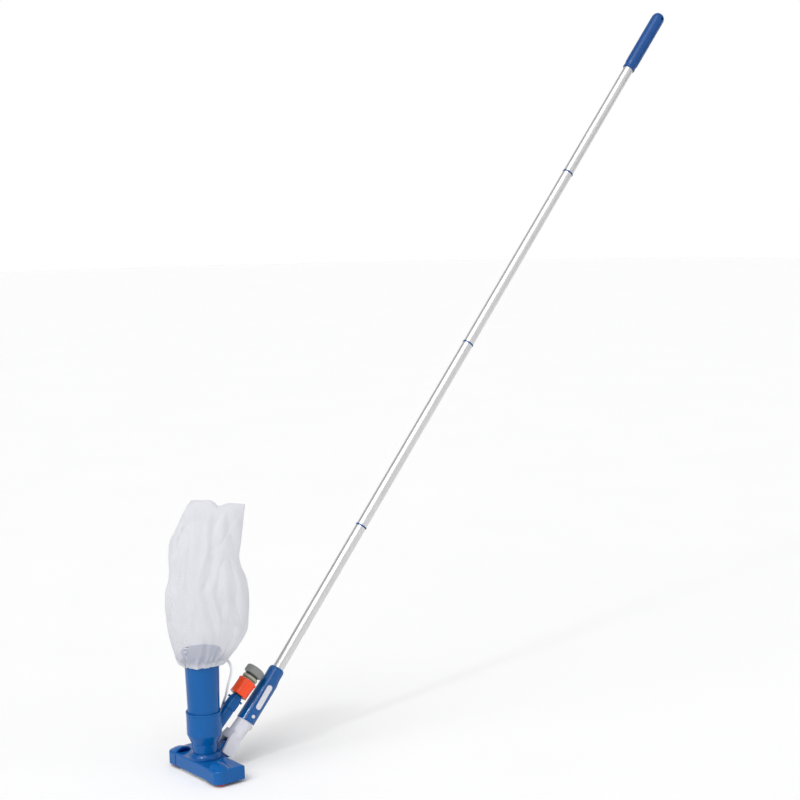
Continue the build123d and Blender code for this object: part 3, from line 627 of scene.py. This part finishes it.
CORD = cord_mat()
ROUTE = [(7.43, 41.8, 216.4), (14.36, 42.83, 219.0), (21.7, 44.04, 218.0), (27.78, 44.96, 213.7), (31.14, 45.5, 207.0), (30.63, 46.15, 197.8), (27.45, 45.35, 187.4), (23.34, 44.02, 176.4),
         (18.21, 43.99, 165.4), (11.86, 45.95, 154.6), (3.75, 48.92, 144.6), (-6.29, 52.02, 134.6), (-16.3, 54.2, 122.6), (-23.02, 54.41, 110.6), (-27.67, 54.01, 99.2)]
cu = bpy.data.curves.new("drawstring_cord", "CURVE")
cu.dimensions = "3D"
sp = cu.splines.new("NURBS")
sp.points.add(len(ROUTE) - 1)
for p, q in zip(sp.points, ROUTE):
    p.co = (q[0] * MM, q[1] * MM, q[2] * MM, 1)
sp.order_u = 3
sp.use_endpoint_u = True
cu.bevel_depth = 0.0023
cu.bevel_resolution = 5
cu.resolution_u = 16
cu.use_fill_caps = True
cord = bpy.data.objects.new("drawstring_cord", cu)
scene.collection.objects.link(cord)
cu.materials.append(CORD)
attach(cord, "suction_head")
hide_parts("drawstring")
knot = nodes_cad["drawstring_knot"]
for s in knot.material_slots:
    s.material = CORD

# ------------------------------------------------------------------ bristles


def make_bristles(name, y0, seed):
    rnd = random.Random(seed)
    verts, faces = [], []
    y0 *= MM
    for row in (-0.42, 0.42):
        n = 40
        for k in range(n):
            cx = (-47.6 + 95.2 * (k + (0.5 if row > 0 else 0)) / n) * MM
            for f in range(11):
                r = 0.00052 * math.sqrt(rnd.random())
                an = rnd.uniform(0, 2 * math.pi)
                bx, by = cx + r * math.cos(an), y0 + row * MM + r * math.sin(an)
                sx, sy = rnd.gauss(0, 0.00045), rnd.gauss(0, 0.0003) + row * 0.0002
                top, bot = 0.0114, 0.0002 + rnd.random() * 0.0006
                rad = 0.00013
                base = len(verts)
                for lev in range(4):
                    t = lev / 3
                    z = top + (bot - top) * t
                    px, py = bx + sx * t * t, by + sy * t * t
                    rr = rad * (1 - 0.35 * t)
                    for q in range(4):
                        aa = math.pi / 2 * q + math.pi / 4
                        verts.append((px + rr * math.cos(aa), py + rr * math.sin(aa), z))
                for lev in range(3):
                    for q in range(4):
                        a0, a1 = base + lev * 4 + q, base + lev * 4 + (q + 1) % 4
                        faces.append((a0, a0 + 4, a1 + 4, a1))
                faces.append(tuple(base + 12 + q for q in range(3, -1, -1)))
                faces.append(tuple(base + q for q in range(4)))
    ob = obj_from(name, verts, faces, MATS["bristle"], smooth=False)
    return ob


for nm, y, sd in (("front", -26.0, 3), ("rear", 26.0, 8)):
    b = make_bristles(nm + "_bristle_tufts", y, sd)
    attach(b, "suction_head")
    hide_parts(nm + "_bristles")

# ------------------------------------------------------------------ stage


def floor_mat():
    m = Mat("m_floor")
    v = m.coords()
    a = m.noise(v, 3.0, 3.0, 0.5)
    base = m.mix(m.rng(a, 0.0, 1.0, 0.3, 0.7), (0.945, 0.945, 0.95), (0.955, 0.955, 0.955))
    m.principled(**{"Base Color": base, "Roughness": 0.75, "Specular IOR Level": 0.2})
    return m.m


fv = [(14 * math.cos(2 * math.pi * i / 64), 14 * math.sin(2 * math.pi * i / 64), -0.0006) for i in range(64)]
floor = obj_from("studio_floor", fv, [tuple(range(64))], floor_mat(), smooth=False)

world = bpy.data.worlds.new("studio") if scene.world is None else scene.world
scene.world = world
world.use_nodes = True
wt = world.node_tree
wt.nodes.clear()
wo = wt.nodes.new("ShaderNodeOutputWorld")
bg1 = wt.nodes.new("ShaderNodeBackground")
bg2 = wt.nodes.new("ShaderNodeBackground")
lp = wt.nodes.new("ShaderNodeLightPath")
mx = wt.nodes.new("ShaderNodeMixShader")
bg1.inputs[0].default_value = (1, 1, 1, 1)
# mirror-like faces see a bright backdrop behind the object and dim studio sides
wv = wt.nodes.new("ShaderNodeTexCoord")
dot = wt.nodes.new("ShaderNodeVectorMath")
dot.operation = "DOT_PRODUCT"
dot.inputs[1].default_value = (-0.784, 0.620, 0.0)
wt.links.new(wv.outputs["Generated"], dot.inputs[0])
ramp = wt.nodes.new("ShaderNodeMapRange")
ramp.inputs["From Min"].default_value = 0.35
ramp.inputs["From Max"].default_value = 0.92
ramp.inputs["To Min"].default_value = 0.40
ramp.inputs["To Max"].default_value = 0.92
wt.links.new(dot.outputs["Value"], ramp.inputs["Value"])
pick = wt.nodes.new("ShaderNodeMix")
pick.inputs["A"].default_value = 0.42
wt.links.new(lp.outputs["Is Glossy Ray"], pick.inputs["Factor"])
wt.links.new(ramp.outputs["Result"], pick.inputs["B"])
wt.links.new(pick.outputs["Result"], bg1.inputs[1])
bg2.inputs[0].default_value = (1, 1, 1, 1)
bg2.inputs[1].default_value = 1.0
wt.links.new(lp.outputs["Is Camera Ray"], mx.inputs[0])
wt.links.new(bg1.outputs[0], mx.inputs[1])
wt.links.new(bg2.outputs[0], mx.inputs[2])
wt.links.new(mx.outputs[0], wo.inputs[0])

# camera: a long lens, level with the pole's middle, slightly rolled
R0 = (0.620, 0.784, 0.0)
az, el, roll = math.radians(51.661), math.radians(8.381), math.radians(1.188)
fwd = Vector((-math.sin(az) * math.cos(el), math.cos(az) * math.cos(el), -math.sin(el)))
right = Vector((math.cos(az), math.sin(az), 0))
down = fwd.cross(right)
cx = right * math.cos(roll) + down * math.sin(roll)
cy = down * math.cos(roll) - right * math.sin(roll)
cam_data = bpy.data.cameras.new("photo_camera")
cam_data.lens = 81.0
cam_data.sensor_width = 36.0
cam_data.clip_end = 60
cam = bpy.data.objects.new("photo_camera", cam_data)
scene.collection.objects.link(cam)
t = Vector((-0.37144, 0.71390, 3.44635))
Rm = Matrix((cx, cy, fwd))
cam.matrix_world = Matrix.Translation(-(Rm.transposed() @ t)) @ Matrix((cx, -cy, -fwd)).transposed().to_4x4()
scene.camera = cam


def sun(name, direction, strength, angle, color=(1, 1, 1)):
    d = bpy.data.lights.new(name, "SUN")
    d.energy = strength
    d.angle = math.radians(angle)
    d.color = color
    o = bpy.data.objects.new(name, d)
    scene.collection.objects.link(o)
    o.rotation_mode = "QUATERNION"
    o.rotation_quaternion = Vector(direction).normalized().to_track_quat("Z", "Y")
    return o


# directions point from the object towards the light
back = Vector((-fwd.x, -fwd.y, 0)).normalized()
sun("key", Vector((0, 0, 1.0)) + back * 0.62 - right * 0.30, 1.65, 55)
sun("glint", Vector((0, 0, 1.0)) + back * 0.75 - right * 0.42, 0.30, 5)
sun("front_left", back * 0.85 - right * 0.65 + Vector((0, 0, 0.45)), 0.60, 60)
sun("front_right", back * 0.75 + right * 0.9 + Vector((0, 0, 0.5)), 0.42, 60)
